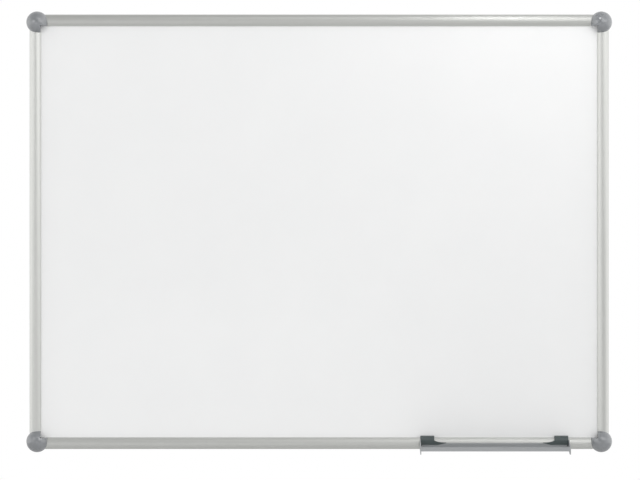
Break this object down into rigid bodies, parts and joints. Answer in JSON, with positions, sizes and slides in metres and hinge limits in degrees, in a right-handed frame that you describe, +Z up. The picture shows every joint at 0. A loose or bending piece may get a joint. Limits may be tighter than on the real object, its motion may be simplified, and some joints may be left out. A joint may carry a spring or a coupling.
{
  "type": "magnetic whiteboard",
  "caption": "Wall-mounted magnetic whiteboard with a satin aluminium frame, grey ball-shaped corner covers and a pen tray that hooks on and slides along the lower frame.",
  "frame": {"origin": "centre of the pattern of the wall screw holes, in the plane of the wall", "axes": "+X to the right seen from the front, +Y into the wall, +Z up; the writing surface faces -Y"},
  "size_m": [1.2128, 0.062, 0.9142],
  "materials": {
    "writing_enamel": "glossy white enamel on steel sheet",
    "core_fibreboard": "plain fibreboard",
    "backing_zinc": "galvanised sheet",
    "frame_aluminium": "satin anodised",
    "tray_aluminium": "satin anodised",
    "cover_plastic": "fine satin moulding",
    "base_plastic": "fine satin moulding",
    "end_plastic": "satin moulding",
    "hook_plastic": "satin moulding",
    "screw_zinc": "zinc plated"
  },
  "bodies": {
    "root": {"writing_surface": "writing_enamel", "core_board": "core_fibreboard", "backing_sheet": "backing_zinc", "frame_top": "frame_aluminium", "frame_bottom": "frame_aluminium", "frame_left": "frame_aluminium", "frame_right": "frame_aluminium", "corner_base_bl": "base_plastic", "corner_base_br": "base_plastic", "corner_base_tr": "base_plastic", "corner_base_tl": "base_plastic", "corner_screws": "screw_zinc"},
    "cover_bl": {"corner_cap_bl": "cover_plastic"},
    "cover_br": {"corner_cap_br": "cover_plastic"},
    "cover_tr": {"corner_cap_tr": "cover_plastic"},
    "cover_tl": {"corner_cap_tl": "cover_plastic"},
    "tray": {"tray_trough": "tray_aluminium", "tray_end_left": "end_plastic", "tray_end_right": "end_plastic", "tray_clip_left": "hook_plastic", "tray_clip_right": "hook_plastic"}
  },
  "joints": [
    {"name": "tray_slide", "type": "slide", "parent": "root", "child": "tray", "axis": [1, 0, 0], "range_m": [-0.769, 0.0445]},
    {"name": "cover_bl_pull", "type": "slide", "parent": "root", "child": "cover_bl", "axis": [0, -1, 0], "range_m": [0, 0.05]},
    {"name": "cover_br_pull", "type": "slide", "parent": "root", "child": "cover_br", "axis": [0, -1, 0], "range_m": [0, 0.05]},
    {"name": "cover_tr_pull", "type": "slide", "parent": "root", "child": "cover_tr", "axis": [0, -1, 0], "range_m": [0, 0.05]},
    {"name": "cover_tl_pull", "type": "slide", "parent": "root", "child": "cover_tl", "axis": [0, -1, 0], "range_m": [0, 0.05]}
  ]
}
